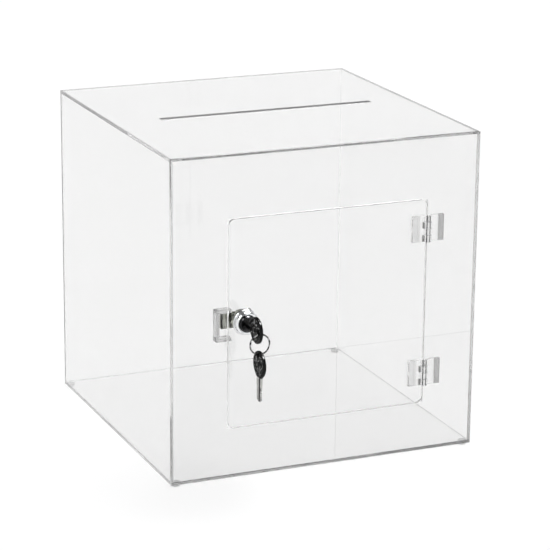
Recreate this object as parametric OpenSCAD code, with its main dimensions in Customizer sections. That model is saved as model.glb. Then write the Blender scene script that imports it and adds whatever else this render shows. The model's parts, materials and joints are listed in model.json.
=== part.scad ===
// Clear acrylic collection box: a cube with a coin and paper slot in its top and a hinged
// front door that is locked by a cam lock. Two keys hang on a split ring.
// The origin is on the surface that the feet stand on, under the middle of the box.
// +X is to the right, +Y goes from the door to the back, +Z is up.

/* [Box] */
// Width of the box from side to side
box_w = 305; // [290:1:330]
// Depth of the box from front to back
box_d = 305; // [290:1:330]
// Height of the box without its feet
box_h = 305; // [290:1:330]
// Thickness of the acrylic sheet
sheet_t = 2.5; // [2:0.1:3.2]

/* [Slot] */
// Length of the slot in the top
slot_len = 217; // [150:1:240]
// Width of the slot, which has round ends
slot_w = 6.5; // [4.5:0.1:8]
// How far the slot's middle lies to the right of the box's middle
slot_shift = 3.5; // [0:0.5:8]

/* [Door] */
// Distance from the left side of the box to the door
door_left = 55.2; // [50:0.1:60]
// Distance from the underside of the box to the door
door_bottom = 48.2; // [40:0.1:55]
// Width of the door
door_w = 197; // [190:0.5:205]
// Height of the door
door_h = 197; // [190:0.5:205]
// Corner radius of the door
door_r = 6; // [3:0.5:10]
// Saw cut between the door and the panel round it
door_gap = 0.5; // [0.3:0.05:0.8]

/* [Hinges] */
// Width of an open hinge over both leaves
hinge_w = 32; // [30:0.5:36]
// Height of a hinge
hinge_h = 25; // [20:0.5:30]
// Thickness of a leaf
leaf_t = 2.4; // [2:0.1:2.6]
// Radius of the knuckles
knuckle_r = 3; // [2.8:0.05:3.1]
// Radius of the hinge pin
hinge_pin_r = 1.2; // [1:0.05:1.6]
// Height of the lower hinge's middle over the underside of the box
hinge_low = 78.5; // [70:0.5:90]
// Height of the upper hinge's middle over the underside of the box
hinge_high = 218.4; // [205:0.5:225]

/* [Lock] */
// Distance from the left side of the box to the lock's axis
lock_left = 71.5; // [69:0.1:74]
// Height of the lock's axis over the underside of the box
lock_up = 148.2; // [140:0.1:155]
// Radius of the chrome flange
flange_r = 12; // [11.5:0.1:12.5]
// How far the flange stands out of the door
flange_h = 6; // [5:0.1:7]
// Radius of the threaded barrel
barrel_r = 9.5; // [9.2:0.1:9.8]
// Distance across the two flats of the barrel
barrel_flats = 16.2; // [15.5:0.1:17]
// Distance from the door's outer face to the barrel's inner end
barrel_len = 9.4; // [9:0.1:10]
// Radius of the plug that turns in the barrel
plug_r = 6.2; // [6:0.05:6.4]
// Radius of the plug's face
plug_face_r = 7.2; // [7:0.05:7.4]
// How far the plug's face stands in front of the flange
plug_proud = 1; // [0.6:0.1:1.4]
// Distance across the nut's flats
nut_af = 22; // [21.5:0.1:23]
// Length of the cam from the axis to its tip
cam_reach = 20.8; // [19:0.1:22]
// Width of the cam
cam_w = 15; // [13:0.5:16]

/* [Keeper] */
// Distance from the left side of the box to the keeper
keeper_left = 44; // [42:0.5:46]
// Width of the keeper
keeper_w = 15; // [14:0.5:16]
// Height of the keeper
keeper_h = 30; // [26:0.5:32]
// Wall of the keeper, which is open towards the lock
keeper_wall = 3.3; // [3:0.1:4]
// How far the keeper's middle lies below the lock's axis
keeper_drop = 2.2; // [0:0.1:3]

/* [Keys] */
// Radius of a key's round bow
bow_r = 12.3; // [11.5:0.1:13]
// Thickness of a bow
bow_t = 3.3; // [3:0.1:3.6]
// Radius of the ring hole in a bow
bow_hole_r = 2.8; // [2.6:0.1:3]
// Distance from a bow's rim to the middle of its ring hole
bow_hole_in = 4.6; // [4.4:0.1:5]
// Length of the wide metal shoulder under a bow
shoulder_len = 7; // [6:0.1:8]
// Length of the blade that goes into the lock
blade_len = 15.8; // [15:0.1:16.5]
// Width of the blade
blade_w = 8; // [7.6:0.1:8.2]
// Thickness of the blade
blade_t = 2; // [1.8:0.05:2.1]
// Middle radius of the split ring
ring_r = 9.3; // [9:0.1:10]
// Radius of the split ring's wire
wire_r = 0.7; // [0.6:0.05:0.75]

/* [Feet] */
// Radius of a bumper foot
foot_r = 4; // [3.5:0.1:5]
// Height of a bumper foot
foot_h = 2.3; // [1.5:0.1:3]
// Distance from the sides of the box to a foot's middle
foot_inset = 6; // [5.5:0.5:12]

/* [Hidden] */
$fn = 64;
eps = 0.01;

// Main planes of the box
front_y = -box_d / 2;
under_z = foot_h;
inner_d = box_d - 2 * sheet_t;
wall_h = box_h - 2 * sheet_t;

// Door hinge line, a little in front of the panel so that the door folds right back
hinge_x = door_left + door_w + door_gap / 2;
hinge_out = knuckle_r + 0.3;
knuckle_count = 4;
knuckle_gap = 0.25;
running_gap = 0.05;
leaf_gap = hinge_out;

// Lock, measured back from the door's outer face
plug_front = -(flange_h + plug_proud);
face_bore_depth = 2.2;
stop_front = barrel_len + 0.1;
stop_t = 0.8;
cam_front = stop_front + stop_t + 0.2;
cam_t = 2;
washer_t = 0.8;
screw_head_t = 2;
screw_r = 2;
square_w = 6.9;
nut_t = 3.4;
thread_pitch = 1;
thread_depth = 0.45;
keyway_w = blade_t + 0.4;
keyway_h = blade_w + 0.6;
wafer_start = -2;
wafer_count = 5;
wafer_pitch = 2;
wafer_t = 0.9;
wafer_w = 7;
wafer_h = 11.2;
spring_r = 0.55;
spring_len = 3;

// Keeper: it bears on the front panel, and its arms reach behind the door's edge as a stop
keeper_seat = 0.2;
keeper_d = cam_front - sheet_t - keeper_seat;

// Keys: distances along the key from its shoulder stop, towards the bow
bow_mid = shoulder_len + bow_r;
hole_mid = bow_mid + bow_r - bow_hole_in;
tang_len = 9;
tang_w = 6;
shoulder_w = 9.2;
wire_gap = 0.5;
wire_drop = bow_hole_r - wire_r - wire_gap;
stop_gap = 0.4;
key_stop = plug_front - stop_gap;
ring_y = key_stop - hole_mid;
ring_top = lock_up - wire_drop;
spare_pivot = ring_top - 2 * ring_r;

// A point measured from the left side, the front face and the underside of the box
function at_box(left, back, up) = [left - box_w / 2, front_y + back, under_z + up];

// Rectangle with round corners whose lower left corner is at the origin
module round_rect(w, h, r) {
    translate([r, 0]) square([w - 2 * r, h]);
    translate([0, r]) square([w, h - 2 * r]);
    for (x = [r, w - r], y = [r, h - r])
        translate([x, y]) circle(r = r);
}

// Stands an outline drawn in X and Z upright and gives it a depth towards the back
module upright(depth) {
    translate([0, depth, 0]) rotate([90, 0, 0]) linear_extrude(height = depth) children();
}

// Lays an outline drawn in X and Y on the lock's axis, with its height going to the back
module along_lock(back) {
    translate(at_box(lock_left, back, lock_up)) rotate([-90, 0, 0]) children();
}

// ---- Box panels ----

module front_panel() {
    color([0.93, 0.95, 0.95, 0.3])
    difference() {
        translate(at_box(0, 0, 0)) cube([box_w, sheet_t, box_h]);
        translate(at_box(door_left - door_gap, -eps, door_bottom - door_gap))
            upright(sheet_t + 2 * eps)
            round_rect(door_w + 2 * door_gap, door_h + 2 * door_gap, door_r + door_gap);
    }
}

module rear_panel() {
    color([0.93, 0.95, 0.95, 0.3])
    translate(at_box(0, box_d - sheet_t, 0)) cube([box_w, sheet_t, box_h]);
}

module side_panel(left) {
    color([0.93, 0.95, 0.95, 0.3])
    translate(at_box(left, sheet_t, sheet_t)) cube([sheet_t, inner_d, wall_h]);
}

module top_panel() {
    color([0.93, 0.95, 0.95, 0.3])
    difference() {
        translate(at_box(0, sheet_t, box_h - sheet_t)) cube([box_w, inner_d, sheet_t]);
        translate(at_box((box_w - slot_len) / 2 + slot_shift, (box_d - slot_w) / 2, box_h - sheet_t - eps))
            linear_extrude(height = sheet_t + 2 * eps)
            slot_outline();
    }
}

module slot_outline() {
    r = slot_w / 2;
    translate([r, 0]) square([slot_len - slot_w, slot_w]);
    for (x = [r, slot_len - r])
        translate([x, r]) circle(r = r);
}

module base_panel() {
    color([0.93, 0.95, 0.95, 0.3])
    translate(at_box(0, sheet_t, 0)) cube([box_w, inner_d, sheet_t]);
}

// Bumper dot under one corner, domed at its foot
module bumper_foot(left, back) {
    dome = 0.7;
    color([0.9, 0.92, 0.92, 0.4])
    translate([left - box_w / 2, front_y + back, 0])
    rotate_extrude() {
        translate([0, dome]) square([foot_r, foot_h - dome]);
        square([foot_r - dome, foot_h]);
        translate([foot_r - dome, dome]) intersection() {
            circle(r = dome);
            translate([-dome, -dome]) square([2 * dome, dome + eps]);
        }
    }
}

// C-shaped keeper behind the front panel, open towards the lock
module lock_keeper() {
    overlap = keeper_left + keeper_w - (door_left - door_gap);
    color([0.9, 0.92, 0.92, 0.4])
    translate(at_box(keeper_left, sheet_t, lock_up - keeper_drop - keeper_h / 2))
    difference() {
        cube([keeper_w, keeper_d, keeper_h]);
        translate([keeper_wall, -eps, keeper_wall])
            cube([keeper_w, keeper_d + 2 * eps, keeper_h - 2 * keeper_wall]);
        translate([keeper_w - overlap, -eps, -eps])
            cube([keeper_w, keeper_seat + eps, keeper_h + 2 * eps]);
    }
}

// ---- Door and hinges ----

module door() {
    hole_gap = 0.15;
    color([0.93, 0.95, 0.95, 0.3])
    difference() {
        translate(at_box(door_left, 0, door_bottom)) upright(sheet_t) round_rect(door_w, door_h, door_r);
        along_lock(-eps) linear_extrude(height = sheet_t + 2 * eps)
            double_d(barrel_r + hole_gap, barrel_flats + 2 * hole_gap);
    }
}

// Circle with two flats, one on each side of the axis
module double_d(r, flats) {
    intersection() {
        circle(r = r);
        square([flats, 3 * r], center = true);
    }
}

// One leaf, lying to the +X side of the hinge axis, with every second knuckle from its first,
// where 0 is the lowest knuckle. The other leaf has the knuckles between them.
module hinge_leaf(first, bore_r) {
    pitch = hinge_h / knuckle_count;
    pad_w = 5;
    pad_t = 0.5;
    difference() {
        union() {
            translate([leaf_gap, hinge_out - leaf_t, -hinge_h / 2])
                cube([hinge_w / 2 - leaf_gap, leaf_t, hinge_h]);
            translate([hinge_w / 2 - pad_w, hinge_out - leaf_t - pad_t, -hinge_h / 2])
                cube([pad_w, leaf_t + pad_t, hinge_h]);
            for (i = [first:2:knuckle_count - 1])
                translate([0, 0, -hinge_h / 2 + i * pitch + (i > 0 ? knuckle_gap / 2 : 0)])
                knuckle(pitch - (i > 0 && i < knuckle_count - 1 ? knuckle_gap : knuckle_gap / 2));
        }
        cylinder(r = bore_r, h = hinge_h + 2, center = true);
    }
}

// One knuckle with the web that ties it to its leaf
module knuckle(h) {
    web_proud = 0.3;
    web_lap = 1;
    cylinder(r = knuckle_r, h = h);
    translate([0, hinge_out - leaf_t - web_proud, 0]) cube([leaf_gap + web_lap, leaf_t, h]);
}

module frame_leaf(up) {
    color([0.88, 0.9, 0.9, 0.5])
    translate(at_box(hinge_x, -hinge_out, up)) hinge_leaf(1, hinge_pin_r);
}

module door_leaf(up) {
    color([0.88, 0.9, 0.9, 0.5])
    translate(at_box(hinge_x, -hinge_out, up)) mirror([1, 0, 0])
        hinge_leaf(0, hinge_pin_r + running_gap);
}

module hinge_pin(up) {
    tip = 0.4;
    len = hinge_h - 0.6;
    color([0.92, 0.93, 0.93, 0.6])
    translate(at_box(hinge_x, -hinge_out, up - len / 2)) {
        translate([0, 0, tip]) cylinder(r = hinge_pin_r, h = len - 2 * tip);
        cylinder(r1 = hinge_pin_r - tip, r2 = hinge_pin_r, h = tip);
        translate([0, 0, len - tip]) cylinder(r1 = hinge_pin_r, r2 = hinge_pin_r - tip, h = tip);
    }
}

// ---- Lock ----

// Domed flange and threaded barrel with two flats, bored for the plug
module lock_housing() {
    pocket_w = wafer_w + 0.4;
    pocket_d = 2;
    color([0.75, 0.76, 0.78])
    difference() {
        union() {
            along_lock(-flange_h) flange();
            along_lock(0) intersection() {
                barrel();
                translate([-barrel_flats / 2, -2 * barrel_r, 0])
                    cube([barrel_flats, 4 * barrel_r, barrel_len]);
            }
        }
        along_lock(-flange_h - 1) cylinder(r = plug_r + running_gap, h = flange_h + barrel_len + 2);
        along_lock(-flange_h - 1) cylinder(r = plug_face_r + running_gap, h = face_bore_depth + 1);
        for (side = [-1, 1])
            along_lock(wafer_start) translate([-pocket_w / 2, side * plug_r - pocket_d / 2, 0])
                cube([pocket_w, pocket_d, wafer_count * wafer_pitch]);
    }
}

// Flange profile: a round bead, a slope out to the rim and a short straight edge
module flange() {
    rim_h = 1.4;
    rim_step = 0.6;
    bead_r = 1.3;
    bead_mid = 8.9;
    bore_r = plug_r - 1;
    rotate_extrude() {
        polygon([
            [bore_r, flange_h], [flange_r, flange_h], [flange_r, flange_h - rim_h],
            [flange_r - rim_step, flange_h - rim_h - rim_step], [bead_mid + bead_r * 0.8, bead_r * 0.4],
            [bead_mid, 0], [bore_r, 0.4]
        ]);
        translate([bead_mid, bead_r]) circle(r = bead_r);
    }
}

// Threaded barrel, with the thread as plain rings
module barrel() {
    root_r = barrel_r - thread_depth;
    relief = 1;
    cylinder(r = root_r, h = barrel_len);
    rotate_extrude()
        for (z = [relief:thread_pitch:barrel_len - thread_pitch])
            polygon([
                [root_r - 1, z], [root_r, z], [barrel_r, z + 0.4 * thread_pitch],
                [barrel_r, z + 0.6 * thread_pitch], [root_r, z + thread_pitch], [root_r - 1, z + thread_pitch]
            ]);
}

module lock_nut() {
    corner_r = nut_af / 2 / cos(30);
    color([0.68, 0.69, 0.7])
    along_lock(sheet_t) difference() {
        intersection() {
            cylinder(r = corner_r, h = nut_t, $fn = 6);
            cylinder(r1 = nut_af / 2 + 0.6, r2 = nut_af / 2 + nut_t, h = nut_t);
        }
        translate([0, 0, -1]) cylinder(r = barrel_r + 0.05, h = nut_t + 2);
    }
}

// Plug that turns in the barrel, with the keyway, the wafer slots and the square for the cam
module lock_plug() {
    face_back = face_bore_depth - flange_h - running_gap;
    square_len = stop_t + cam_t + 0.1;
    chamfer = 0.5;
    slot_gap = 0.05;
    color([0.32, 0.33, 0.34])
    difference() {
        union() {
            along_lock(plug_front) cylinder(r1 = plug_face_r - chamfer, r2 = plug_face_r, h = chamfer);
            along_lock(plug_front + chamfer)
                cylinder(r = plug_face_r, h = face_back - plug_front - chamfer);
            along_lock(face_back - 1) cylinder(r = plug_r, h = barrel_len - face_back + 1);
            along_lock(barrel_len - eps) translate([-square_w / 2, -square_w / 2, 0])
                cube([square_w, square_w, square_len + eps]);
        }
        along_lock(plug_front - eps) translate([-keyway_w / 2, -keyway_h / 2, 0])
            cube([keyway_w, keyway_h, blade_len + eps]);
        for (i = [0:wafer_count - 1])
            along_lock(wafer_back(i) - slot_gap) translate([-wafer_w / 2 - slot_gap, -plug_r - 1, 0])
                cube([wafer_w + 2 * slot_gap, 2 * plug_r + 2, wafer_t + 2 * slot_gap]);
        along_lock(barrel_len - 0.1) cylinder(r = screw_r, h = 10);
    }
}

// How far back a wafer lies
function wafer_back(i) = wafer_start + (wafer_pitch - wafer_t) / 2 + i * wafer_pitch;

// Wafers in the unlocked place, each with a window round the key
module lock_wafers() {
    color([0.78, 0.62, 0.3])
    for (i = [0:wafer_count - 1])
        along_lock(wafer_back(i)) difference() {
            intersection() {
                translate([-wafer_w / 2, -wafer_h / 2, 0]) cube([wafer_w, wafer_h, wafer_t]);
                translate([0, 0, -1]) cylinder(r = plug_r - 0.1, h = wafer_t + 2);
            }
            translate([-keyway_w / 2, -keyway_h / 2, -1]) cube([keyway_w, keyway_h, wafer_t + 2]);
            translate([wafer_w / 2 - 2 * spring_r - 0.4, -spring_len / 2 - 0.1, -1])
                cube([2 * spring_r + 1, spring_len + 0.2, wafer_t + 2]);
        }
}

// A small spring beside each wafer's window, as one closed solid with a coil's outline
module wafer_springs() {
    coils = 5;
    coil_h = spring_len / coils;
    core_r = 0.25;
    coil_r = 0.44;
    color([0.72, 0.72, 0.7])
    for (i = [0:wafer_count - 1])
        along_lock(wafer_back(i) + wafer_t / 2)
            translate([wafer_w / 2 - spring_r, -spring_len / 2, 0]) rotate([-90, 0, 0])
            rotate_extrude($fn = 24)
            for (c = [0:coils - 1])
                polygon([
                    [0, c * coil_h], [core_r, c * coil_h], [coil_r, (c + 0.3) * coil_h],
                    [coil_r, (c + 0.7) * coil_h], [core_r, (c + 1) * coil_h], [0, (c + 1) * coil_h]
                ]);
}

// Toothed washer on the square that stops the cam after a quarter turn
module stop_washer() {
    disc_r = 7.6;
    tooth_w = 4;
    tooth_out = 1.6;
    color([0.7, 0.71, 0.72])
    along_lock(stop_front) difference() {
        union() {
            cylinder(r = disc_r, h = stop_t);
            rotate([0, 0, 45]) translate([0, -tooth_w / 2, 0]) cube([disc_r + tooth_out, tooth_w, stop_t]);
        }
        square_hole(stop_t);
    }
}

module square_hole(h) {
    w = square_w + 0.1;
    translate([-w / 2, -w / 2, -1]) cube([w, w, h + 2]);
}

// Flat cam that points to the keeper when the box is locked
module lock_cam() {
    hub_r = 9;
    tip_r = 2;
    color([0.62, 0.63, 0.62])
    along_lock(cam_front) difference() {
        union() {
            cylinder(r = hub_r, h = cam_t);
            translate([-cam_reach + tip_r, -cam_w / 2, 0]) cube([cam_reach - tip_r, cam_w, cam_t]);
            translate([-cam_reach, -cam_w / 2 + tip_r, 0]) cube([cam_reach, cam_w - 2 * tip_r, cam_t]);
            for (side = [-1, 1])
                translate([-cam_reach + tip_r, side * (cam_w / 2 - tip_r), 0]) cylinder(r = tip_r, h = cam_t);
        }
        square_hole(cam_t);
    }
}

module cam_washer() {
    washer_r = 5.2;
    color([0.7, 0.71, 0.72])
    along_lock(cam_front + cam_t) difference() {
        cylinder(r = washer_r, h = washer_t);
        translate([0, 0, -1]) cylinder(r = screw_r + 0.2, h = washer_t + 2);
    }
}

// Pan-head screw with a cross recess, driven into the plug
module cam_screw() {
    head_r = 4;
    head_back = cam_front + cam_t + washer_t;
    shank_front = barrel_len + 0.2;
    recess_w = 0.9;
    recess_len = 4;
    recess_d = 1;
    color([0.7, 0.71, 0.72])
    difference() {
        union() {
            along_lock(shank_front) cylinder(r = screw_r, h = head_back - shank_front + eps);
            along_lock(head_back) cylinder(r = head_r, h = screw_head_t / 2);
            along_lock(head_back + screw_head_t / 2)
                cylinder(r1 = head_r, r2 = head_r - 1, h = screw_head_t / 2);
        }
        for (turn = [0, 90])
            along_lock(head_back + screw_head_t - recess_d) rotate([0, 0, turn])
                translate([-recess_len / 2, -recess_w / 2, 0]) cube([recess_len, recess_w, 2 * recess_d]);
    }
}

// ---- Keys: drawn with the shoulder stop at the origin, the blade to +X and the bow to -X ----

// Metal blank: tang inside the bow, wide shoulder and blade with its cuts
module key_metal() {
    groove_w = 3.2;
    groove_d = 0.45;
    groove_off = 1.9;
    tip_h = 2;
    tip_len = 2;
    cuts = [1.2, 2.1, 0.9, 1.7, 1.3];
    cut_first = 3.2;
    cut_pitch = 2.3;
    cut_flat = 0.4;
    difference() {
        translate([0, 0, -blade_t / 2]) linear_extrude(height = blade_t) difference() {
            union() {
                translate([-shoulder_len - tang_len, -tang_w / 2]) square([tang_len + 1, tang_w]);
                translate([-shoulder_len, -shoulder_w / 2]) square([shoulder_len, shoulder_w]);
                polygon([
                    [-1, -blade_w / 2], [blade_len - tip_len, -blade_w / 2], [blade_len, -tip_h / 2],
                    [blade_len, tip_h / 2], [blade_len - tip_len, blade_w / 2], [-1, blade_w / 2]
                ]);
            }
            for (i = [0:len(cuts) - 1])
                translate([cut_first + i * cut_pitch, -blade_w / 2]) cut_outline(cut_flat, cuts[i] / 2);
        }
        for (turn = [0, 180])
            rotate([turn, 0, 0])
                translate([-shoulder_len - eps, groove_off - groove_w / 2, blade_t / 2 - groove_d])
                cube([shoulder_len + blade_len + 2 * eps, groove_w, 1 + groove_d]);
    }
}

// V-shaped cut with a flat bottom, drawn from the blade's edge
module cut_outline(flat, depth) {
    polygon([[-flat - depth, -eps], [-flat, depth], [flat, depth], [flat + depth, -eps]]);
}

// Round plastic bow with raised rim, ring hole and a pocket that holds the tang
module key_plastic() {
    rim_w = 1.5;
    dish = 0.4;
    boss_r = bow_hole_r + 1.3;
    seat_d = 0.8;
    difference() {
        translate([-bow_mid, 0, -bow_t / 2]) cylinder(r = bow_r, h = bow_t);
        for (side = [-1, 1])
            translate([-bow_mid, 0, side > 0 ? bow_t / 2 - dish : -bow_t / 2 - 1]) difference() {
                cylinder(r = bow_r - rim_w, h = 1 + dish);
                translate([bow_hole_in - bow_r, 0, -1]) cylinder(r = boss_r, h = 3 + dish);
            }
        translate([-hole_mid, 0, -bow_t]) cylinder(r = bow_hole_r, h = 2 * bow_t);
        translate([-shoulder_len - tang_len, -tang_w / 2, -blade_t / 2])
            cube([tang_len + 1, tang_w, blade_t]);
        translate([-shoulder_len - seat_d, -shoulder_w / 2, -blade_t / 2])
            cube([2 * seat_d, shoulder_w, blade_t]);
    }
}

// Key in the lock: along the lock's axis with its flat sides to the left and right
module in_lock() {
    translate(at_box(lock_left, key_stop, lock_up)) rotate([0, 0, 90]) rotate([90, 0, 0]) children();
}

// Spare key: hangs straight down from the ring
module on_ring() {
    translate(at_box(lock_left, ring_y, spare_pivot - wire_drop - hole_mid))
        rotate([0, 90, 0]) children();
}

module lock_key_blade() {
    color([0.72, 0.72, 0.7]) in_lock() key_metal();
}

module lock_key_bow() {
    color([0.08, 0.08, 0.09]) in_lock() key_plastic();
}

module spare_key_blade() {
    color([0.72, 0.72, 0.7]) on_ring() key_metal();
}

module spare_key_bow() {
    color([0.08, 0.08, 0.09]) on_ring() key_plastic();
}

// Split ring, drawn as one closed wire
module key_ring() {
    color([0.7, 0.7, 0.7])
    translate(at_box(lock_left, ring_y, ring_top - ring_r)) rotate([90, 0, 0])
    rotate_extrude() translate([ring_r, 0]) circle(r = wire_r, $fn = 32);
}

front_panel();
rear_panel();
side_panel(0);  // left_panel
side_panel(box_w - sheet_t);  // right_panel
top_panel();
base_panel();
bumper_foot(foot_inset, foot_inset);  // foot_front_left
bumper_foot(box_w - foot_inset, foot_inset);  // foot_front_right
bumper_foot(foot_inset, box_d - foot_inset);  // foot_rear_left
bumper_foot(box_w - foot_inset, box_d - foot_inset);  // foot_rear_right
lock_keeper();
frame_leaf(hinge_high);  // upper_hinge_frame_leaf
hinge_pin(hinge_high);  // upper_hinge_pin
door_leaf(hinge_high);  // upper_hinge_door_leaf
frame_leaf(hinge_low);  // lower_hinge_frame_leaf
hinge_pin(hinge_low);  // lower_hinge_pin
door_leaf(hinge_low);  // lower_hinge_door_leaf
door();
lock_housing();
lock_nut();
lock_plug();
lock_wafers();
wafer_springs();
stop_washer();
lock_cam();
cam_washer();
cam_screw();
lock_key_blade();
lock_key_bow();
key_ring();
spare_key_blade();
spare_key_bow();
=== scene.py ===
"""Looks of the clear collection box: acrylic panels, plastic hinges, cam lock and two keys."""

import json
import math

import bmesh
import bpy
from mathutils import Matrix, Vector


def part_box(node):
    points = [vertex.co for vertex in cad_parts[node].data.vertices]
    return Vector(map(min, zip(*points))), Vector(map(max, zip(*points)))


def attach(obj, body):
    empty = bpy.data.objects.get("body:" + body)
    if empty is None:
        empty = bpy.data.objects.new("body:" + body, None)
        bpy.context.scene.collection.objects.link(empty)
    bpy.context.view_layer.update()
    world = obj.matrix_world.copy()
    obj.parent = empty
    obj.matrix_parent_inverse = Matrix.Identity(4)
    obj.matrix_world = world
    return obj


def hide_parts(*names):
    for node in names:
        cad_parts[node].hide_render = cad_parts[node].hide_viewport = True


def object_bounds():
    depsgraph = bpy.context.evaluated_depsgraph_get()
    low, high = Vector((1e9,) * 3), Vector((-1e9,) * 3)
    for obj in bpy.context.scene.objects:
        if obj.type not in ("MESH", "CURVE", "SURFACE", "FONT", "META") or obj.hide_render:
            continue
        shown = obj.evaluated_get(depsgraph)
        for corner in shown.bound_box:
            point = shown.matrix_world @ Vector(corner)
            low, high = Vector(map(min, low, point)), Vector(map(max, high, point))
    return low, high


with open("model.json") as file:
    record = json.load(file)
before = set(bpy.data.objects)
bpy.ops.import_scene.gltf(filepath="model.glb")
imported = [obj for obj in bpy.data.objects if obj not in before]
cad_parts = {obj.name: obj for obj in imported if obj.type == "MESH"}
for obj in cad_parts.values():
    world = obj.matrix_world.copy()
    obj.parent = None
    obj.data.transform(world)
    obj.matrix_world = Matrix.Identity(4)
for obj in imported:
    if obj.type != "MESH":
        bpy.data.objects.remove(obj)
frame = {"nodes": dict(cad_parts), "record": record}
cad_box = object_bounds()

MM = 0.001
TURN = 2 * math.pi

# Sizes of the CAD model that its pieces' boxes don't give
SHEET_T = 2.5 * MM
SLOT_LEN = 217 * MM
SLOT_W = 6.5 * MM
SLOT_SHIFT = 3.5 * MM
DOOR_GAP = 0.5 * MM
KEEPER_WALL = 3.3 * MM
KNUCKLES = 4
PLUG_BORE_R = 6.25 * MM
PLUG_FACE_BORE_R = 7.25 * MM
BOW_HOLE_R = 2.8 * MM
BOW_HOLE_IN = 4.6 * MM

PANELS = ["front_panel", "rear_panel", "left_panel", "right_panel", "top_panel", "base_panel", "door"]
LEAVES = [f"{level}_hinge_{part}_leaf" for level in ("upper", "lower") for part in ("frame", "door")]
PINS = ["upper_hinge_pin", "lower_hinge_pin"]
BLADES = ["lock_key_blade", "spare_key_blade"]
HARDWARE = ["lock_nut", "lock_cam", "stop_washer", "cam_washer", "cam_screw"]

SLOT_OF = {part["node"]: part["material_slot"] for part in frame["record"]["subparts"]}
BODY_OF = {node: body for body, nodes in frame["record"]["behaviour"]["bodies"].items() for node in nodes}

# ---- Camera ----

CAM_YAW = math.radians(-23.331)
CAM_PITCH = math.radians(16.605)
CAM_ROLL = math.radians(0.572)
CAM_LENS = 157.5
CAM_DISTANCE = 2.335
# How far the camera is moved square to its view, to place the box in the frame
AIM_RIGHT = 0.0125
AIM_UP = -0.0107


def middle(node):
    lo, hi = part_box(node)
    return (lo + hi) / 2


def make_camera():
    """A long lens, a little above the box and to its left."""
    back = Vector((
        math.sin(CAM_YAW) * math.cos(CAM_PITCH),
        -math.cos(CAM_YAW) * math.cos(CAM_PITCH),
        math.sin(CAM_PITCH),
    ))
    right = (-back).cross(Vector((0, 0, 1))).normalized()
    up = back.cross(right)
    target = (middle("front_panel") + middle("rear_panel")) / 2
    place = target + back * CAM_DISTANCE + right * AIM_RIGHT + up * AIM_UP
    rolled_right = right * math.cos(CAM_ROLL) + up * math.sin(CAM_ROLL)
    rolled_up = up * math.cos(CAM_ROLL) - right * math.sin(CAM_ROLL)
    turn = Matrix((rolled_right, rolled_up, back)).transposed()
    data = bpy.data.cameras.new("camera")
    data.lens = CAM_LENS
    data.sensor_width = 36
    data.clip_end = 60
    camera = bpy.data.objects.new("camera", data)
    camera.matrix_world = Matrix.Translation(place) @ turn.to_4x4()
    bpy.context.scene.collection.objects.link(camera)
    bpy.context.scene.camera = camera


# ---- Node helpers ----

class Nodes:
    """One material's node tree, with short ways to add the nodes that repeat."""

    def __init__(self, name):
        self.material = bpy.data.materials.new(name)
        self.material.use_nodes = True
        self.tree = self.material.node_tree
        self.tree.nodes.clear()
        self.output = self.tree.nodes.new("ShaderNodeOutputMaterial")
        self.coords = self.tree.nodes.new("ShaderNodeTexCoord")

    def add(self, kind, inputs=None, **settings):
        node = self.tree.nodes.new(kind)
        for name, value in settings.items():
            setattr(node, name, value)
        for name, value in (inputs or {}).items():
            self.put(node.inputs[name], value)
        return node

    def put(self, socket, value):
        if isinstance(value, bpy.types.NodeSocket):
            self.tree.links.new(value, socket)
        else:
            socket.default_value = value

    def place(self, stretch=(1, 1, 1)):
        """Object coordinates, squeezed along each axis by its number."""
        inputs = {"Vector": self.coords.outputs["Object"], "Scale": stretch}
        return self.add("ShaderNodeMapping", inputs).outputs[0]

    def axis(self, name):
        """One of the object coordinates, by its letter."""
        return self.add("ShaderNodeSeparateXYZ", {0: self.coords.outputs["Object"]}).outputs[name]

    def noise(self, scale, detail=2.0, stretch=(1, 1, 1), rough=0.5):
        inputs = {"Vector": self.place(stretch), "Scale": scale, "Detail": detail, "Roughness": rough}
        return self.add("ShaderNodeTexNoise", inputs).outputs["Fac"]

    def spread(self, value, low, high, start=0.0, end=1.0):
        """Maps start..end of a value to low..high."""
        inputs = {"Value": value, "From Min": start, "From Max": end, "To Min": low, "To Max": high}
        return self.add("ShaderNodeMapRange", inputs).outputs["Result"]

    def math(self, operation, a, b=0.0):
        node = self.add("ShaderNodeMath", operation=operation)
        self.put(node.inputs[0], a)
        self.put(node.inputs[1], b)
        return node.outputs[0]

    def mix(self, factor, a, b):
        """Blends two colours. The mix node has its colour sockets at these numbers."""
        colour_a, colour_b, colour_result = 6, 7, 2
        node = self.add("ShaderNodeMix", data_type="RGBA")
        self.put(node.inputs["Factor"], factor)
        self.put(node.inputs[colour_a], a)
        self.put(node.inputs[colour_b], b)
        return node.outputs[colour_result]

    def bump(self, height, distance, strength=1.0, normal=None):
        inputs = {"Height": height, "Distance": distance, "Strength": strength}
        if normal is not None:
            inputs["Normal"] = normal
        return self.add("ShaderNodeBump", inputs).outputs["Normal"]

    def mix_shaders(self, factor, first, second):
        """Shows the first shader where the factor is 0, and the second where it is 1."""
        node = self.add("ShaderNodeMixShader", {0: factor})
        self.tree.links.new(first.outputs[0], node.inputs[1])
        self.tree.links.new(second.outputs[0], node.inputs[2])
        return node

    def surface(self, shader):
        self.tree.links.new(shader.outputs[0], self.output.inputs["Surface"])
        return self.material


def grey(value):
    return (value, value, value, 1)


# ---- Clear plastics ----

ACRYLIC_IOR = 1.49
# Half the width over which a zone fades in
SOFT_EDGE = 0.15 * MM

# Noise scales, in cycles per metre
RIPPLE_SCALE = 9.0
SCRATCH_SCALE = 260.0
HAZE_SCALE = 1800.0

# Stretches a noise into upright streaks
UPRIGHT_STREAKS = (1, 1, 0.06)

# Grey that the inside of the plastic turns light to
ABSORBED = 0.8


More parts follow.
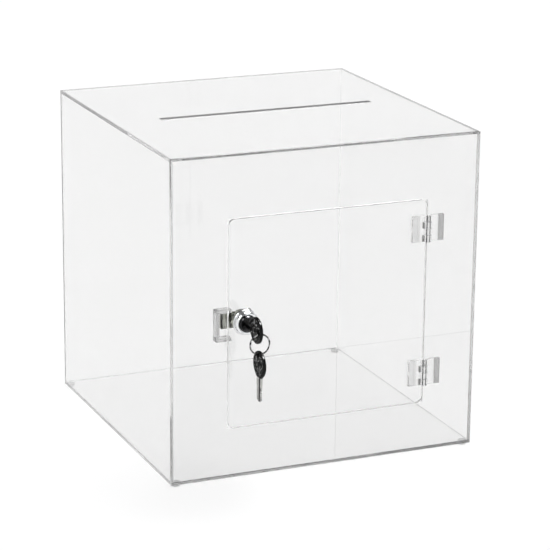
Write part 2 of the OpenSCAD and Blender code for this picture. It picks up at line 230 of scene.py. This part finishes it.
def clear_plastic(name, tint, absorb=0.0, shade=1.0, haze=0.0, zones=()):
    """Clear plastic with faint handling marks.

    Lamps shine through it, dimmed by shade at each face, and absorb is the density of its grey inside.
    Each zone is (mask, tint, haze): where the mask is 1, the plastic has that tint and that much more haze.
    """
    n = Nodes(name)
    ripple = n.noise(RIPPLE_SCALE, 1.0)
    scratches = n.noise(SCRATCH_SCALE, 2.0, UPRIGHT_STREAKS)
    grain = n.noise(HAZE_SCALE, 1.0)
    marks = n.spread(scratches, 0.0, 0.05, 0.66, 0.78)
    rough = n.math("ADD", marks, n.spread(grain, haze, haze + 0.01))
    colour = n.mix(n.spread(grain, 0.0, 1.0, 0.35, 0.65), grey(tint), grey(tint * 0.99))
    for mask, zone_tint, zone_haze in zones:
        on = mask(n)
        zone_colour = n.mix(n.spread(grain, 0.0, 1.0, 0.3, 0.7), grey(zone_tint), grey(zone_tint * 0.93))
        colour = n.mix(on, colour, zone_colour)
        rough = n.math("ADD", rough, n.math("MULTIPLY", on, zone_haze))
    normal = n.bump(ripple, 0.00012, 0.3)
    normal = n.bump(scratches, 0.000004, 0.4, normal)
    glass = n.add("ShaderNodeBsdfPrincipled", {
        "Base Color": colour, "Roughness": rough, "IOR": ACRYLIC_IOR,
        "Transmission Weight": 1.0, "Normal": normal,
    })
    through = n.add("ShaderNodeBsdfTransparent", {"Color": grey(shade)})
    path = n.add("ShaderNodeLightPath")
    either = n.math("MAXIMUM", path.outputs["Is Shadow Ray"], path.outputs["Is Diffuse Ray"])
    if absorb:
        absorption = n.add("ShaderNodeVolumeAbsorption", {"Color": grey(ABSORBED), "Density": absorb})
        n.tree.links.new(absorption.outputs[0], n.output.inputs["Volume"])
    return n.surface(n.mix_shaders(either, glass, through))


def within(axis, place, half):
    """1 as far as half to either side of a plane across one axis."""
    def mask(n):
        away = n.math("ABSOLUTE", n.math("SUBTRACT", n.axis(axis), place))
        return n.spread(away, 1.0, 0.0, half - SOFT_EDGE, half + SOFT_EDGE)
    return mask


def both_of(first, second):
    """1 where two masks are both 1."""
    def mask(n):
        return n.math("MULTIPLY", first(n), second(n))
    return mask


def beside_line(line_x, start, end):
    """1 between two distances to either side of a vertical line."""
    def mask(n):
        away = n.math("ABSOLUTE", n.math("SUBTRACT", n.axis("X"), line_x))
        past_start = n.spread(away, 0.0, 1.0, start - SOFT_EDGE, start + SOFT_EDGE)
        before_end = n.spread(away, 1.0, 0.0, end - SOFT_EDGE, end + SOFT_EDGE)
        return n.math("MULTIPLY", past_start, before_end)
    return mask


def rod_sides():
    """1 down two sides of the hinge pins and their bores, where painted shade stands for the dark look of
    the air gap.

    The two sides are the left and right ones as the photo's camera sees them: slant is its yaw, rounded
    and fixed here, so the lines are tuned to that view. Clear is the share of the pin's radius between
    them that stays clear.
    """
    slant = math.radians(-23)
    clear = 0.72
    across = Vector((math.cos(slant), math.sin(slant), 0))
    pin_lo, pin_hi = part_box("upper_hinge_pin")
    start = clear * (pin_hi.x - pin_lo.x) / 2
    line_at = across.dot((pin_lo + pin_hi) / 2)

    def mask(n):
        inputs = {0: n.coords.outputs["Object"], 1: across}
        product = n.add("ShaderNodeVectorMath", inputs, operation="DOT_PRODUCT")
        away = n.math("ABSOLUTE", n.math("SUBTRACT", product.outputs["Value"], line_at))
        return n.spread(away, 0.0, 1.0, start - SOFT_EDGE, start + SOFT_EDGE)
    return mask


def knuckle_roots(line_x, start, end, lowest_z, pitch):
    """1 beside the hinge line, next to every second knuckle up from the lowest, where the door's leaves get
    painted shade.
    """
    own_half, fade = 0.5, 0.04

    def mask(n):
        pairs = n.math("DIVIDE", n.math("SUBTRACT", n.axis("Z"), lowest_z), 2 * pitch)
        own = n.spread(n.math("FRACT", pairs), 1.0, 0.0, own_half - fade, own_half)
        return n.math("MULTIPLY", own, beside_line(line_x, start, end)(n))
    return mask


# ---- Metals and black plastic ----

EVEN = (1, 1, 1)
PIT = 0.006 * MM


def metal(name, colour, dark, rough_low, rough_high,
          brushed=EVEN, wear_and_shade=0.3, streak=EVEN, patch_from=0.45):
    """Plated or bare metal: uneven roughness, fine brushing, small pits and duller patches or streaks: wear,
    and painted dark reflection where the patches go near black.

    Its patches go up to wear of the way from colour to dark. Brushed and streak are how much the lines
    and the patches are stretched along each axis.
    """
    n = Nodes(name)
    patches = n.noise(320.0, 4.0, streak)
    lines = n.noise(2400.0, 2.0, brushed)
    spots = n.noise(1500.0, 3.0)
    tone = n.spread(patches, 0.0, wear_and_shade, patch_from, patch_from + 0.12)
    rough = n.math("ADD", n.spread(lines, rough_low, rough_high), n.spread(patches, 0.0, 0.06, 0.5, 0.8))
    normal = n.bump(spots, PIT, 0.5)
    normal = n.bump(lines, PIT, 0.35, normal)
    shader = n.add("ShaderNodeBsdfPrincipled", {
        "Base Color": n.mix(tone, colour, dark), "Metallic": 1.0, "Roughness": rough, "Normal": normal,
    })
    return n.surface(shader)


def black_plastic(name, gloss, coat, rough_low, wear_and_reflection=0.012, nick_and_highlight=0.02):
    """Moulded black plastic with fine grain, pale streaks and pale flecks: faint wear where they are near
    black, and painted reflections and highlights where they are paler.
    """
    n = Nodes(name)
    grain = n.noise(5200.0, 2.0)
    streaking = n.noise(620.0, 3.0, (1, 1, 0.2))
    flecking = n.noise(560.0, 1.0)
    tone = n.spread(streaking, 0.0, 1.0, 0.54, 0.7)
    flecked = n.spread(flecking, 0.0, 1.0, 0.63, 0.67)
    fine = n.spread(grain, rough_low, rough_low + 0.06)
    rough = n.math("ADD", fine, n.spread(streaking, 0.0, 0.1, 0.45, 0.75))
    colour = n.mix(flecked, n.mix(tone, grey(0.003), grey(wear_and_reflection)), grey(nick_and_highlight))
    shader = n.add("ShaderNodeBsdfPrincipled", {
        "Base Color": colour, "Roughness": rough, "Specular IOR Level": gloss,
        "Coat Weight": coat, "Coat Roughness": 0.05, "Normal": n.bump(grain, 0.00002, 0.35),
    })
    return n.surface(shader)


SHEET_TINT = 0.932
HINGE_TINT = 0.97
HINGE_SHADE = 0.92
MATERIALS = {
    "clear_acrylic": clear_plastic("acrylic", SHEET_TINT, absorb=9.0),
    "clear_hinge": clear_plastic("hinge_plastic", HINGE_TINT, shade=HINGE_SHADE),
    # The pin's two near black sides are painted shade.
    "hinge_pin": clear_plastic("pin_plastic", 0.95, shade=0.9, haze=0.01, zones=[(rod_sides(), 0.01, 0.0)]),
    "clear_bumper": clear_plastic("bumper_rubber", 0.7, absorb=250.0, shade=0.8, haze=0.06),
    "chrome": metal("chrome", (0.8, 0.81, 0.82, 1), (0.6, 0.61, 0.63, 1), 0.09, 0.15),
    # The plug's near black is painted dark reflection of the studio in its chrome face.
    "lock_plug": metal("plug_painted_reflection", (0.05, 0.05, 0.052, 1), (0.02, 0.02, 0.022, 1), 0.14, 0.24),
    # The zinc's streaks go near black: painted dark reflection over its own tone.
    "zinc_plate": metal("zinc", (0.52, 0.53, 0.47, 1), (0.01, 0.01, 0.009, 1), 0.14, 0.28,
                        wear_and_shade=1.0, streak=(2, 1, 0.06)),
    "wafer_brass": metal("brass", (0.78, 0.58, 0.26, 1), (0.5, 0.36, 0.14, 1), 0.2, 0.34,
                         brushed=(1, 1, 0.1)),
    "spring_steel": metal("spring_wire", (0.6, 0.6, 0.6, 1), (0.35, 0.35, 0.36, 1), 0.16, 0.28),
    "key_nickel": metal("key_metal", (0.46, 0.46, 0.44, 1), (0.25, 0.25, 0.24, 1), 0.1, 0.22,
                        brushed=UPRIGHT_STREAKS),
    # The ring's patches go near black along the wire: painted dark reflection on the bright nickel.
    "ring_nickel": metal("ring_metal", grey(0.45), grey(0.01), 0.06, 0.14, wear_and_shade=1.0, patch_from=0.4),
    "bow_black": black_plastic("bow_plastic", gloss=0.02, coat=0.22, rough_low=0.08, wear_and_reflection=0.006, nick_and_highlight=0.006),
}
# The grooves' near black and the cuts' dark grey are painted shade; their rough dullness is that of milled
# metal.
GROOVE_SHADE = metal("groove_painted_shade", grey(0.006), grey(0.003), 0.25, 0.4, brushed=UPRIGHT_STREAKS)
CUT_SHADE = metal("cuts_painted_shade", grey(0.13), grey(0.05), 0.5, 0.65, brushed=UPRIGHT_STREAKS, wear_and_shade=1.0)
# The dish's pale streaks and flecks are painted reflections and highlights.
BOW_DISH = black_plastic("bow_dish", gloss=0.02, coat=0.0, rough_low=0.4, wear_and_reflection=0.32, nick_and_highlight=0.55)


def slot_zone():
    """The slot's walls are dull, as the cutter left them, and dark with painted shade."""
    reach = 0.2 * MM
    tint, haze = 0.1, 0.35
    panel = middle("top_panel")
    along = within("X", panel.x + SLOT_SHIFT, SLOT_LEN / 2 + reach)
    across = within("Y", panel.y, SLOT_W / 2 + reach)
    return (both_of(along, across), tint, haze)


def kerf_zones():
    """The saw cut's walls as the photo shows them: hazy at the door's left and top, and grey with painted
    shade at its right.
    """
    lo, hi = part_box("door")
    door = middle("door")
    half, to_middle = 0.45 * MM, DOOR_GAP / 2
    beside = within("Z", door.z, (hi.z - lo.z) / 2)
    above = within("X", door.x, (hi.x - lo.x) / 2)
    left = both_of(within("X", lo.x - to_middle, half), beside)
    right = both_of(within("X", hi.x + to_middle, half), beside)
    top = both_of(within("Z", hi.z + to_middle, half), above)
    return [(left, 1.0, 0.5), (top, 1.0, 0.2), (right, 0.45, 0.05)]


def bottom_edge_shade(node):
    """The strip of a wall along its bottom edge, where the base meets it, is greyer than the rest: painted
    shade.
    """
    tint = 0.35
    return (within("Z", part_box(node)[0].z, SHEET_T), tint, 0.0)


def keeper_zone():
    """The keeper's upright wall is greyer than its two arms, with painted shade."""
    tint = 0.72
    return (within("X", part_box("lock_keeper")[0].x, KEEPER_WALL), tint, 0.0)


def leaf_materials():
    """Each hinge leaf has a grey pad along its outer edge, darker on the frame's leaves with painted shade,
    and the door's leaves have painted shade at their knuckle roots.
    """
    pads = {"door": (8.0 * MM, 0.82), "frame": (5.4 * MM, 0.52)}
    pad_haze = 0.08
    root_start, root_end, root_shade = 3.2 * MM, 5.2 * MM, 0.2
    materials = {}
    for level in ("upper", "lower"):
        lo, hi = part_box(f"{level}_hinge_frame_leaf")
        line = middle(f"{level}_hinge_pin").x
        reach = hi.x - line
        pitch = (hi.z - lo.z) / KNUCKLES
        for side, (pad_w, pad_tint_and_shade) in pads.items():
            zones = [(beside_line(line, reach - pad_w, 2 * reach), pad_tint_and_shade, pad_haze)]
            if side == "door":
                zones.append((knuckle_roots(line, root_start, root_end, lo.z, pitch), root_shade, 0.0))
            materials[f"{level}_hinge_{side}_leaf"] = clear_plastic(
                f"{level}_{side}_leaf_plastic", HINGE_TINT, shade=HINGE_SHADE, zones=zones)
    return materials


# Pieces whose plastic differs from the rest of their slot's. The sheets are all of one kind, and their
# tints and densities, and the keeper's, differ only so that each looks as it does in the photo: painted
# shade.
OWN_MATERIAL = {
    "lock_keeper": clear_plastic("keeper_acrylic", 0.9, absorb=200.0, shade=0.95, haze=0.004,
                                 zones=[keeper_zone()]),
    "front_panel": clear_plastic("front_acrylic", SHEET_TINT, absorb=3.0, zones=kerf_zones()),
    "door": clear_plastic("door_acrylic", SHEET_TINT, absorb=3.0, zones=kerf_zones()),
    "base_panel": clear_plastic("base_acrylic", SHEET_TINT, absorb=2.0),
    "left_panel": clear_plastic("left_acrylic", 0.919, absorb=2.5),
    "right_panel": clear_plastic("right_acrylic", SHEET_TINT, absorb=3.0),
    "rear_panel": clear_plastic("rear_acrylic", SHEET_TINT, absorb=9.0, zones=[bottom_edge_shade("rear_panel")]),
    "top_panel": clear_plastic("top_acrylic", 0.923, absorb=9.0, zones=[slot_zone()]),
    **leaf_materials(),
}


def bore_wall():
    """Wall of a clear bore: clear at its front and back, and near black with painted shade down the two
    sides between them.
    """
    n = Nodes("bore_wall")
    clear = n.add("ShaderNodeBsdfPrincipled", {
        "Base Color": grey(HINGE_TINT), "Roughness": n.spread(n.noise(HAZE_SCALE, 1.0), 0.0, 0.01),
        "IOR": ACRYLIC_IOR, "Transmission Weight": 1.0,
    })
    dark = n.add("ShaderNodeBsdfPrincipled", {
        "Base Color": n.mix(n.noise(900.0), grey(0.004), grey(0.02)),
        "Roughness": 0.6, "Specular IOR Level": 0.0,
    })
    return n.surface(n.mix_shaders(rod_sides()(n), clear, dark))


BORE_WALL = bore_wall()


def dress(obj, material):
    """Gives a piece one material."""
    obj.data.materials.clear()
    obj.data.materials.append(material)
    for face in obj.data.polygons:
        face.material_index = 0


def dress_cad_nodes():
    for node, slot_name in SLOT_OF.items():
        obj = frame["nodes"][node]
        dress(obj, OWN_MATERIAL.get(node, MATERIALS[slot_name]))


def darken_grooves():
    """The milled grooves and the cuts of each blade are dull, and darker than its flat faces with painted
    shade.
    """
    groove_floor = 0.7 * MM
    for name in BLADES:
        obj = frame["nodes"][name]
        obj.data.materials.append(GROOVE_SHADE)
        obj.data.materials.append(CUT_SHADE)
        across = middle(name).x
        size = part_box(name)[1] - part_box(name)[0]
        along = "z" if size.z > size.y else "y"
        for face in obj.data.polygons:
            flat = abs(face.normal.x) > 0.9
            upright = abs(face.normal.x) < 0.1
            slanted = 0.3 < abs(getattr(face.normal, along)) < 0.95
            if flat and abs(face.center.x - across) < groove_floor:
                face.material_index = 1
            elif upright and slanted:
                face.material_index = 2


def darken_bores():
    """The walls of the hinge leaves' bores get their own look, with painted shade down two sides."""
    bore_reach = 1.6 * MM
    for name in LEAVES:
        obj = frame["nodes"][name]
        obj.data.materials.append(BORE_WALL)
        line = middle(name.replace("frame_leaf", "pin").replace("door_leaf", "pin"))
        for face in obj.data.polygons:
            away = math.hypot(face.center.x - line.x, face.center.y - line.y)
            if away < bore_reach and abs(face.normal.z) < 0.5:
                face.material_index = 1


# ---- Edges of the CAD pieces ----

SAME_POINT = 0.001 * MM
BEVEL_ANGLE = 40


def join_corners(obj, name):
    """Welds the corners that the CAD mesh keeps once for each face."""
    weld = obj.modifiers.new(name, "WELD")
    weld.merge_threshold = SAME_POINT


def round_edges(name, width):
    """Gives a node's edges a small bevel."""
    obj = frame["nodes"][name]
    join_corners(obj, "weld")
    bevel = obj.modifiers.new("bevel", "BEVEL")
    bevel.width = width
    bevel.segments = 2
    bevel.limit_method = "ANGLE"
    bevel.angle_limit = math.radians(BEVEL_ANGLE)


def shrink(name, amount):
    """Draws every face in a little, so that clear pieces that touch keep a breath of air between them."""
    obj = frame["nodes"][name]
    join_corners(obj, "join")
    inward = obj.modifiers.new("inward", "DISPLACE")
    inward.strength = -amount
    inward.mid_level = 0


def draw_flat(name):
    """Shades a panel flat, because its stored normals lean at the slot's ends."""
    mesh = frame["nodes"][name].data
    stored = mesh.attributes.get("custom_normal")
    if stored is not None:
        mesh.attributes.remove(stored)
    for face in mesh.polygons:
        face.use_smooth = False


def finish_edges():
    """How far each kind of piece is drawn in, and how wide its bevel is."""
    draw_flat("top_panel")
    inward = [(PANELS, 0.003 * MM), (["lock_keeper"], 0.02 * MM), (LEAVES, 0.02 * MM), (PINS, 0.06 * MM)]
    bevels = [(PANELS, 0.15 * MM), (["lock_keeper"], 0.3 * MM), (HARDWARE, 0.15 * MM), (BLADES, 0.12 * MM)]
    for names, amount in inward:
        for name in names:
            shrink(name, amount)
    for names, width in bevels:
        for name in names:
            round_edges(name, width)


# ---- New pieces ----

def add_piece(name, bm, node, smooth_angle=35):
    """Makes an object from a bmesh, and lets it stand for a CAD node."""
    bmesh.ops.recalc_face_normals(bm, faces=bm.faces)
    mesh = bpy.data.meshes.new(name)
    bm.to_mesh(mesh)
    bm.free()
    for face in mesh.polygons:
        face.use_smooth = True
    mesh.set_sharp_from_angle(angle=math.radians(smooth_angle))
    piece = bpy.data.objects.new(name, mesh)
    bpy.context.scene.collection.objects.link(piece)
    dress(piece, MATERIALS[SLOT_OF[node]])
    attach(piece, BODY_OF[node])
    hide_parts(node)
    return piece


def skin_rings(bm, rings, closed_along):
    """Joins rings of points, each a closed loop, into a skin. Returns the rings' vertices."""
    made = [[bm.verts.new(p) for p in ring] for ring in rings]
    count = len(made)
    for i in range(count if closed_along else count - 1):
        a, b = made[i], made[(i + 1) % count]
        for j in range(len(a)):
            k = (j + 1) % len(a)
            bm.faces.new((a[j], a[k], b[k], b[j]))
    return made


def smoothstep(value, start, end):
    t = min(1.0, max(0.0, (value - start) / (end - start)))
    return t * t * (3 - 2 * t)


def make_housing():
    """Lock housing: domed flange and a barrel with a helical thread and two flats."""
    steps = 128
    lo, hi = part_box("lock_housing")
    axis = middle("lock_housing")
    flange_r = (hi.x - lo.x) / 2
    flange_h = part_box("door")[0].y - lo.y
    length = hi.y - lo.y
    face_bore_d = 2.2 * MM
    barrel_r, flat_x = 9.5 * MM, 8.1 * MM
    pitch, depth, relief = 1.0 * MM, 0.45 * MM, 0.9 * MM
    per_pitch = 8
    crest_r = 8.9 * MM
    rim_r, rim_y = flange_r - 0.5 * MM, 4.5 * MM
    dome_steps = 14

    def dome(t):
        """From the rim, t = 0, in to the bead's crest, t = 1."""
        angle = t * TURN / 4
        return crest_r + (rim_r - crest_r) * math.cos(angle), rim_y * (1 - math.sin(angle))

    front = [(flange_r, flange_h), (flange_r, rim_y + 0.55 * MM), (flange_r - 0.15 * MM, rim_y + 0.2 * MM)]
    front += [dome(i / dome_steps) for i in range(dome_steps + 1)]
    bead = ((0.45, 0.1), (0.9, 0.35), (1.3, 0.8))
    front += [(crest_r - inward * MM, back * MM) for inward, back in bead]
    front += [(PLUG_FACE_BORE_R, 1.1 * MM), (PLUG_FACE_BORE_R, face_bore_d), (PLUG_BORE_R, face_bore_d)]
    samples = round((length - flange_h) / pitch * per_pitch)
    rings = []
    for i in range(steps):
        angle = i / steps * TURN
        ring = [(r * math.cos(angle), y, r * math.sin(angle)) for r, y in front]
        ring.append((PLUG_BORE_R * math.cos(angle), length, PLUG_BORE_R * math.sin(angle)))
        for k in range(samples + 1):
            y = length - (length - flange_h) * k / samples
            wave = abs(2 * (((y / pitch) - angle / TURN) % 1) - 1)
            along = min(y - flange_h, length - y)
            height = depth * smoothstep(wave, 0.15, 0.85) * smoothstep(along, relief * 0.4, relief)
            r = barrel_r - depth + height
            x = max(-flat_x, min(flat_x, r * math.cos(angle)))
            ring.append((x, y, r * math.sin(angle)))
        rings.append([(axis.x + x, lo.y + y, axis.z + z) for x, y, z in ring])
    bm = bmesh.new()
    skin_rings(bm, rings, True)
    return add_piece("housing_shell", bm, "lock_housing", 40)


def bow_outline(angle, radius):
    """Round, with a short flat collar where the shoulder comes out at angle 0."""
    angle = abs((angle + TURN / 2) % TURN - TURN / 2)
    collar = math.radians(21)
    beyond = 1 / math.cos(min(angle, collar)) - 1
    return radius * (1 + beyond * (1 - smoothstep(angle, collar, collar * 1.5)))


def make_bow(name, node, toward_shoulder):
    """Key bow: rounded rim, dished sides with a raised ring, and a boss round the ring hole."""
    steps = 120
    lo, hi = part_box(node)
    centre = middle(node)
    radius = (hi.z - lo.z) / 2
    half_t = (hi.x - lo.x) / 2
    edge = 1.2 * MM
    dish, dish_r = 0.5 * MM, 10.3 * MM
    ring_r, ring_half, ring_up = 5.4 * MM, 0.45 * MM, 0.3 * MM
    hole_at, boss_r = radius - BOW_HOLE_IN, 4.1 * MM
    along = Vector(toward_shoulder)
    across = Vector((1, 0, 0)).cross(along)

    def height(r, angle):
        level = half_t - dish * (1 - smoothstep(r, dish_r - 0.5 * MM, dish_r + 0.2 * MM))
        level += ring_up * (1 - smoothstep(abs(r - ring_r), ring_half * 0.4, ring_half * 1.3))
        from_hole = math.hypot(r * math.cos(angle) + hole_at, r * math.sin(angle))
        boss = 1 - smoothstep(from_hole, boss_r - 0.3 * MM, boss_r + 0.3 * MM)
        return level + (half_t - 0.05 * MM - level) * boss

    inner = 30
    arc = 6
    side = []
    for angle in (i / steps * TURN for i in range(steps)):
        outline = bow_outline(angle, radius)
        rim = outline - edge
        points = [(rim * k / inner, None) for k in range(1, inner + 1)]
        for k in range(1, arc + 1):
            turn = k / arc * TURN / 4
            points.append((rim + edge * math.sin(turn), half_t - edge + edge * math.cos(turn)))
        side.append([(r, height(r, angle) if up is None else up, angle) for r, up in points])

    def at(r, up, angle):
        return centre + along * (r * math.cos(angle)) + across * (r * math.sin(angle)) + Vector((up, 0, 0))

    bm = bmesh.new()
    count = inner + arc
    top = [[at(*side[i][k]) for i in range(steps)] for k in range(count)]
    low = [[at(side[i][k][0], -side[i][k][1], side[i][k][2]) for i in range(steps)] for k in range(count)]
    made = skin_rings(bm, top + low[::-1], False)
    for ring, sign in ((made[0], 1), (made[-1], -1)):
        hub = bm.verts.new(at(0, sign * height(0, 0), 0))
        for j in range(steps):
            bm.faces.new((ring[j], ring[(j + 1) % steps], hub))
    bmesh.ops.recalc_face_normals(bm, faces=bm.faces)

    cutter = bmesh.new()
    flare = 0.5 * MM
    profile = [(BOW_HOLE_R + flare * 1.5, half_t * 1.6), (BOW_HOLE_R + flare, half_t)]
    profile += [(BOW_HOLE_R + flare * (1 - math.sin(a)), half_t - flare * (1 - math.cos(a)))
                for a in (math.radians(v) for v in (30, 60, 90))]
    profile += [(r, -up) for r, up in reversed(profile)]
    hole_steps = 48
    hole_turns = [j / hole_steps * TURN for j in range(hole_steps)]
    hole_rings = [[at(r, up, turn) - along * hole_at for turn in hole_turns] for r, up in profile]
    ends = skin_rings(cutter, hole_rings, False)
    cutter.faces.new(ends[0])
    cutter.faces.new(ends[-1])
    cut(bm, cutter)
    bow = add_piece(name, bm, node, 50)
    bow.data.materials.append(BOW_DISH)
    hole = centre - along * hole_at
    for face in bow.data.polygons:
        flat = Vector((centre.x, face.center.y, face.center.z))
        if (flat - centre).length < dish_r - 0.2 * MM and (flat - hole).length > boss_r:
            face.material_index = 1
    return bow


def cut(bm, cutter_bm):
    """Takes the cutter's solid out of a bmesh, with an exact boolean."""
    bmesh.ops.recalc_face_normals(cutter_bm, faces=cutter_bm.faces)
    objects = []
    for label, source in (("body", bm), ("cutter", cutter_bm)):
        mesh = bpy.data.meshes.new(label)
        source.to_mesh(mesh)
        obj = bpy.data.objects.new(label, mesh)
        bpy.context.scene.collection.objects.link(obj)
        objects.append(obj)
    body, tool = objects
    boolean = body.modifiers.new("cut", "BOOLEAN")
    boolean.operation = "DIFFERENCE"
    boolean.solver = "EXACT"
    boolean.object = tool
    done = body.evaluated_get(bpy.context.evaluated_depsgraph_get()).to_mesh()
    bm.clear()
    bm.from_mesh(done)
    cutter_bm.free()
    for obj in objects:
        bpy.data.objects.remove(obj)
    bmesh.ops.remove_doubles(bm, verts=bm.verts, dist=0.002 * MM)


def make_ring():
    """Split ring: one flat wire wound nearly twice, with the step from turn to turn between its ends."""
    lo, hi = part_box("key_ring")
    centre = middle("key_ring")
    wire = (hi.y - lo.y) / 2
    mean_r = (hi.x - lo.x) / 2 - wire
    half_wide, half_thick, layer = 0.69 * MM, 0.32 * MM, 0.35 * MM
    squareness = 0.6
    step_from, step_to = math.radians(306), math.radians(357)
    last = TURN + step_from - math.radians(3)
    first_at = math.radians(-62)
    count, sides = 190, 16
    rings = []
    for i in range(count + 1):
        t = last * i / count
        offset = layer * (1 - 2 * smoothstep(t, step_from, step_to))
        angle = first_at - t
        out = Vector((math.cos(angle), 0, math.sin(angle)))
        end = min(i, count - i)
        taper = (0.55, 0.8, 0.95, 1.0)[min(end, 3)]
        ring = []
        for j in range(sides):
            a = j / sides * TURN
            wide = math.copysign(abs(math.cos(a)) ** squareness, math.cos(a)) * half_wide * taper
            thick = math.copysign(abs(math.sin(a)) ** squareness, math.sin(a)) * half_thick * taper
            ring.append(centre + out * (mean_r + wide) + Vector((0, offset + thick, 0)))
        rings.append(ring)
    bm = bmesh.new()
    made = skin_rings(bm, rings, False)
    bm.faces.new(made[0])
    bm.faces.new(made[-1])
    return add_piece("ring_wire", bm, "key_ring", 50)


def make_pieces():
    make_housing()
    make_bow("lock_key_grip", "lock_key_bow", (0, 1, 0))
    make_bow("spare_key_grip", "spare_key_bow", (0, 0, -1))
    make_ring()


# ---- Floor, backdrop and light ----

FLOOR_HALF = 14.0
SQUARE = ((-1, -1), (1, -1), (1, 1), (-1, 1))

# Cards: how far each lies from the lock, half its width and height, and its brightness
CARDS = {
    "dark_front": (Vector((0.2, -2.2, 2.0)), 2.0, 0.8, 0.04),
    "bright_left": (Vector((-1.4, -1.4, 1.4)), 0.42, 0.6, 9.0),
    "bright_top": (Vector((1.14, -0.79, 2.6)), 0.5, 0.5, 90.0),
}

# Brightness of the studio from the horizon, at 0, to straight overhead, at 1
SKY = [(0.0, 1.0), (0.16, 1.0), (0.32, 0.95), (0.42, 0.45), (0.6, 0.1), (1.0, 0.08)]

SUN_STRENGTH = 2.95
SUN_ANGLE = 50
SUN_AIM = (-0.38, 0.0, -0.95)


def flat_piece(name, corners, material):
    mesh = bpy.data.meshes.new(name)
    mesh.from_pydata(corners, [], [(0, 1, 2, 3)])
    mesh.materials.append(material)
    obj = bpy.data.objects.new(name, mesh)
    bpy.context.scene.collection.objects.link(obj)
    return obj


def make_floor():
    n = Nodes("floor_paint")
    mottle = n.noise(3.0, 4.0)
    shader = n.add("ShaderNodeBsdfPrincipled", {
        "Base Color": n.mix(mottle, grey(0.9), grey(0.915)), "Roughness": 0.9, "Specular IOR Level": 0.0,
    })
    n.surface(shader)
    level = cad_box[0].z
    corners = [(x * FLOOR_HALF, y * FLOOR_HALF, level) for x, y in SQUARE]
    flat_piece("floor", corners, n.material)


def make_card(name, centre, aim, half_w, half_h, value):
    """A card that only reflections see, so that the metals have something dark or bright to reflect."""
    n = Nodes(name)
    colour = n.mix(n.noise(2.0, 2.0), grey(value), grey(value * 0.9))
    n.surface(n.add("ShaderNodeEmission", {"Color": colour, "Strength": 1.0}))
    forward = (aim - centre).normalized()
    right = forward.cross(Vector((0, 0, 1))).normalized()
    up = right.cross(forward)
    corners = [centre + right * (x * half_w) + up * (y * half_h) for x, y in SQUARE]
    card = flat_piece(name, corners, n.material)
    card.visible_camera = False
    card.visible_diffuse = False
    card.visible_transmission = False
    card.visible_volume_scatter = False
    card.visible_shadow = False


def make_cards():
    lock = middle("lock_housing")
    for name, (offset, half_w, half_h, value) in CARDS.items():
        make_card(name, lock + offset, lock, half_w, half_h, value)


def make_world():
    """A pale studio: white round the horizon, dimmer overhead."""
    world = bpy.data.worlds.new("studio")
    world.use_nodes = True
    tree = world.node_tree
    tree.nodes.clear()
    output = tree.nodes.new("ShaderNodeOutputWorld")
    background = tree.nodes.new("ShaderNodeBackground")
    coords = tree.nodes.new("ShaderNodeTexCoord")
    split = tree.nodes.new("ShaderNodeSeparateXYZ")
    ramp = tree.nodes.new("ShaderNodeValToRGB")
    points = ramp.color_ramp.elements
    while len(points) < len(SKY):
        points.new(1.0)
    for point, (place, value) in zip(points, SKY):
        point.position = place
        point.color = grey(value)
    tree.links.new(coords.outputs["Generated"], split.inputs[0])
    tree.links.new(split.outputs["Z"], ramp.inputs[0])
    tree.links.new(ramp.outputs[0], background.inputs["Color"])
    tree.links.new(background.outputs[0], output.inputs[0])
    bpy.context.scene.world = world


def make_sun():
    """One very soft lamp, a little to the right of overhead."""
    data = bpy.data.lights.new("overhead", "SUN")
    data.energy = SUN_STRENGTH
    data.angle = math.radians(SUN_ANGLE)
    lamp = bpy.data.objects.new("overhead", data)
    lamp.rotation_mode = "QUATERNION"
    lamp.rotation_quaternion = Vector(SUN_AIM).to_track_quat("-Z", "Y")
    bpy.context.scene.collection.objects.link(lamp)


def set_render():
    """Enough bounces for light to get through many clear sheets."""
    through_sheets, off_gloss, brightest = 64, 48, 6.0
    scene = bpy.context.scene
    scene.view_settings.view_transform = "Standard"
    scene.cycles.max_bounces = through_sheets
    scene.cycles.transmission_bounces = through_sheets
    scene.cycles.glossy_bounces = off_gloss
    scene.cycles.transparent_max_bounces = through_sheets
    scene.cycles.sample_clamp_indirect = brightest


make_camera()
dress_cad_nodes()
darken_grooves()
darken_bores()
finish_edges()
make_pieces()
make_floor()
make_cards()
make_world()
make_sun()
set_render()
